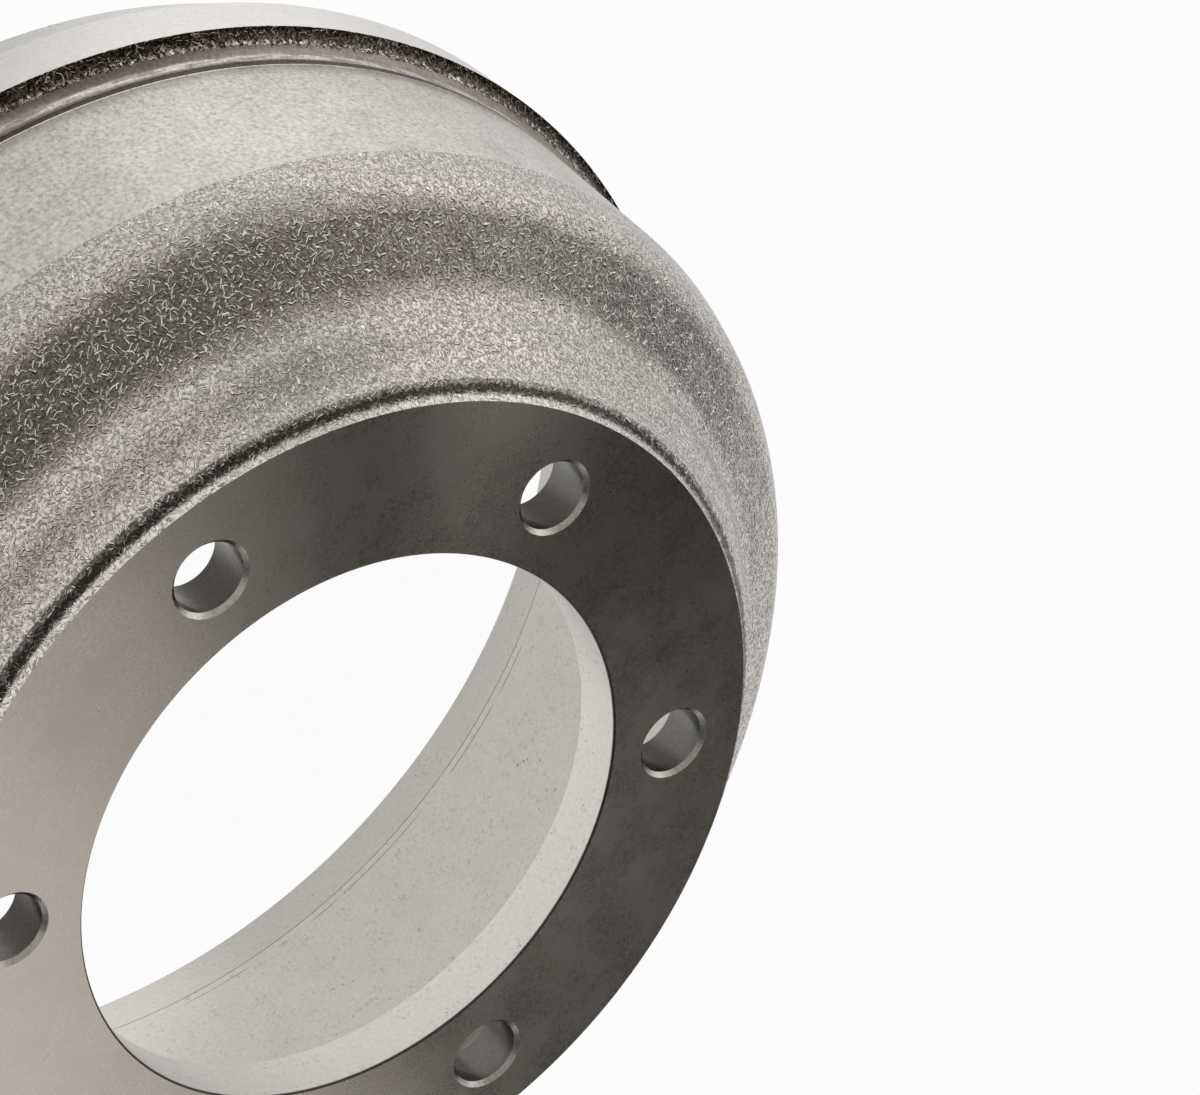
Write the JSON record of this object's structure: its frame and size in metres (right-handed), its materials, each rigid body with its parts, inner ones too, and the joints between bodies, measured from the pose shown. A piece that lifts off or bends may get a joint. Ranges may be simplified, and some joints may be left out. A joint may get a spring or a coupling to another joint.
{
  "type": "brake drum",
  "caption": "Cast and turned drum for an expanding shoe brake, with a bolted hub face, a large centre bore and a grooved, lipped rim.",
  "frame": {"origin": "on the drum's axis, in the plane of the open end that it stands on", "axes": "+Z along the drum's axis, from the open end to the hub face; +X through one bolt hole"},
  "size_m": [0.351, 0.351, 0.15],
  "materials": {
    "cast_iron": "bare grey iron: turned and drilled faces, with the cast skin left on the bowl and on the flange's upper face"
  },
  "bodies": {
    "root": {"brake_drum": "cast_iron"}
  },
  "joints": []
}
